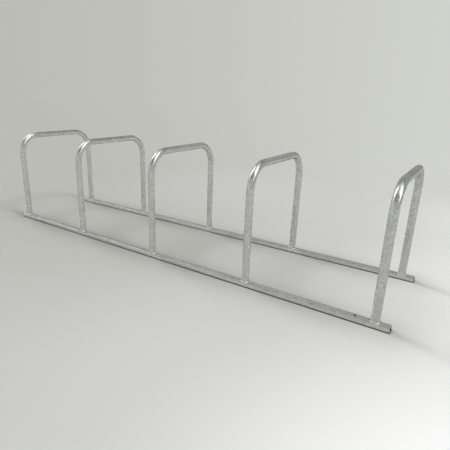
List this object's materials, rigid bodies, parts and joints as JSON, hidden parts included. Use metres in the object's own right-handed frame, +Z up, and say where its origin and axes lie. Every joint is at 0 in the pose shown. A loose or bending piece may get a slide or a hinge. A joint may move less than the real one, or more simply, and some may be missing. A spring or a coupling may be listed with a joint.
{
  "type": "floor bike rack",
  "caption": "Free-standing galvanised steel bike rack: bent-tube hoops in a row, welded across parallel box-section floor rails with anchor holes near their ends.",
  "frame": {"origin": "on the ground under the middle of the rack, the centre of the bounding box's bottom face", "axes": "+X along the rails, +Y across the rack from the front rail to the back rail, +Z up"},
  "size_m": [3.36, 0.8016, 0.7999],
  "materials": {
    "hoop_steel": "hot-dip galvanised steel tube, glossy zinc with grey spangle",
    "rail_steel": "hot-dip galvanised hollow section, glossy zinc with grey spangle",
    "weld_steel": "fillet weld under the same zinc coat, slightly rougher"
  },
  "bodies": {
    "root": {"rail_front": "rail_steel", "rail_back": "rail_steel", "hoop_1": "hoop_steel", "hoop_2": "hoop_steel", "hoop_3": "hoop_steel", "hoop_4": "hoop_steel", "hoop_5": "hoop_steel", "foot_weld_front_1": "weld_steel", "foot_weld_front_2": "weld_steel", "foot_weld_front_3": "weld_steel", "foot_weld_front_4": "weld_steel", "foot_weld_front_5": "weld_steel", "foot_weld_back_1": "weld_steel", "foot_weld_back_2": "weld_steel", "foot_weld_back_3": "weld_steel", "foot_weld_back_4": "weld_steel", "foot_weld_back_5": "weld_steel"}
  },
  "joints": []
}
